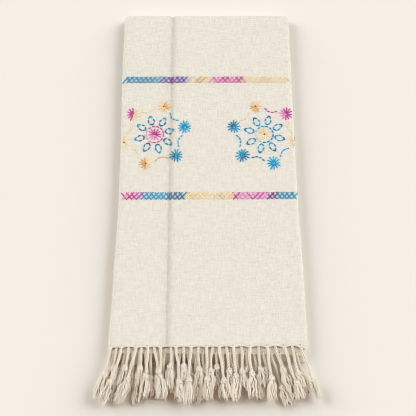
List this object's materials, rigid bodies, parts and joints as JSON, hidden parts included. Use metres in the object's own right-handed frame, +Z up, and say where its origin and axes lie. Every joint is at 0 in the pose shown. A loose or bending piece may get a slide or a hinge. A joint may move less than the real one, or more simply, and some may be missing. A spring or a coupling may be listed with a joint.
{
  "type": "folded woollen shawl with knotted fringe",
  "caption": "Cream woollen shawl folded to a long flat pack, with embroidered borders and twisted, knotted fringe at its hems.",
  "frame": {"origin": "on the flat underside, below the middle of the folded cloth without its fringe", "axes": "+Y along the folded cloth towards its top fold, +X to the right seen from above, +Z up from the underside"},
  "size_m": [0.2991, 0.5805, 0.0146],
  "materials": {
    "wool_cloth": "matt plain weave with small slubs",
    "fringe_yarn": "matt twisted woollen yarn"
  },
  "bodies": {
    "root": {"cloth": "wool_cloth", "front_fringe": "fringe_yarn", "back_fringe": "fringe_yarn"}
  },
  "joints": []
}
